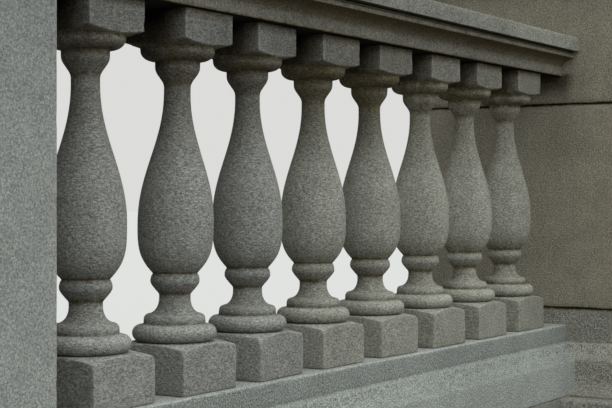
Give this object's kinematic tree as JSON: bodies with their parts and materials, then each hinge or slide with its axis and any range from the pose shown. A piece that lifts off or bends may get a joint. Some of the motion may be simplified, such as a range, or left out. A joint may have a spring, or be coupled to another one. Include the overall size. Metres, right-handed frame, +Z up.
{
  "type": "stone balustrade",
  "caption": "Bay of stone balustrade: turned balusters on a moulded base course under a moulded rail and coping, between a pedestal pier and a larger coursed end pier.",
  "frame": {"origin": "on the ground, at the middle of the overall length and depth", "axes": "+X along the row towards the large end pier, +Y to the back, +Z up"},
  "size_m": [3.336, 1.13, 1.436],
  "materials": {
    "baluster_stone": "weathered pale grey granite, fine grained, worn arrises, brown dirt in the recesses",
    "base_stone": "weathered pale grey granite, rubbed smooth on the ledge",
    "rail_stone": "weathered grey granite, dark stains on the undersides",
    "pier_stone": "weathered grey granite, sawn faces with fine speckle",
    "ground_stone": "weathered grey granite, coarser and dirtier near the ground"
  },
  "bodies": {
    "root": {"baluster_1": "baluster_stone", "baluster_2": "baluster_stone", "baluster_3": "baluster_stone", "baluster_4": "baluster_stone", "baluster_5": "baluster_stone", "baluster_6": "baluster_stone", "baluster_7": "baluster_stone", "baluster_8": "baluster_stone", "base_course_1": "base_stone", "base_course_2": "base_stone", "base_course_3": "base_stone", "coping_1": "rail_stone", "coping_2": "rail_stone", "far_pier_base": "base_stone", "far_pier_cap": "pier_stone", "far_pier_lower_course": "pier_stone", "far_pier_plinth": "ground_stone", "far_pier_upper_course": "pier_stone", "ground_course_1": "ground_stone", "ground_course_2": "ground_stone", "near_pier_base": "base_stone", "near_pier_coping": "rail_stone", "near_pier_die": "pier_stone", "near_pier_ground_course": "ground_stone", "near_pier_rail": "rail_stone", "rail_1": "rail_stone", "rail_2": "rail_stone", "rail_3": "rail_stone"}
  },
  "joints": []
}
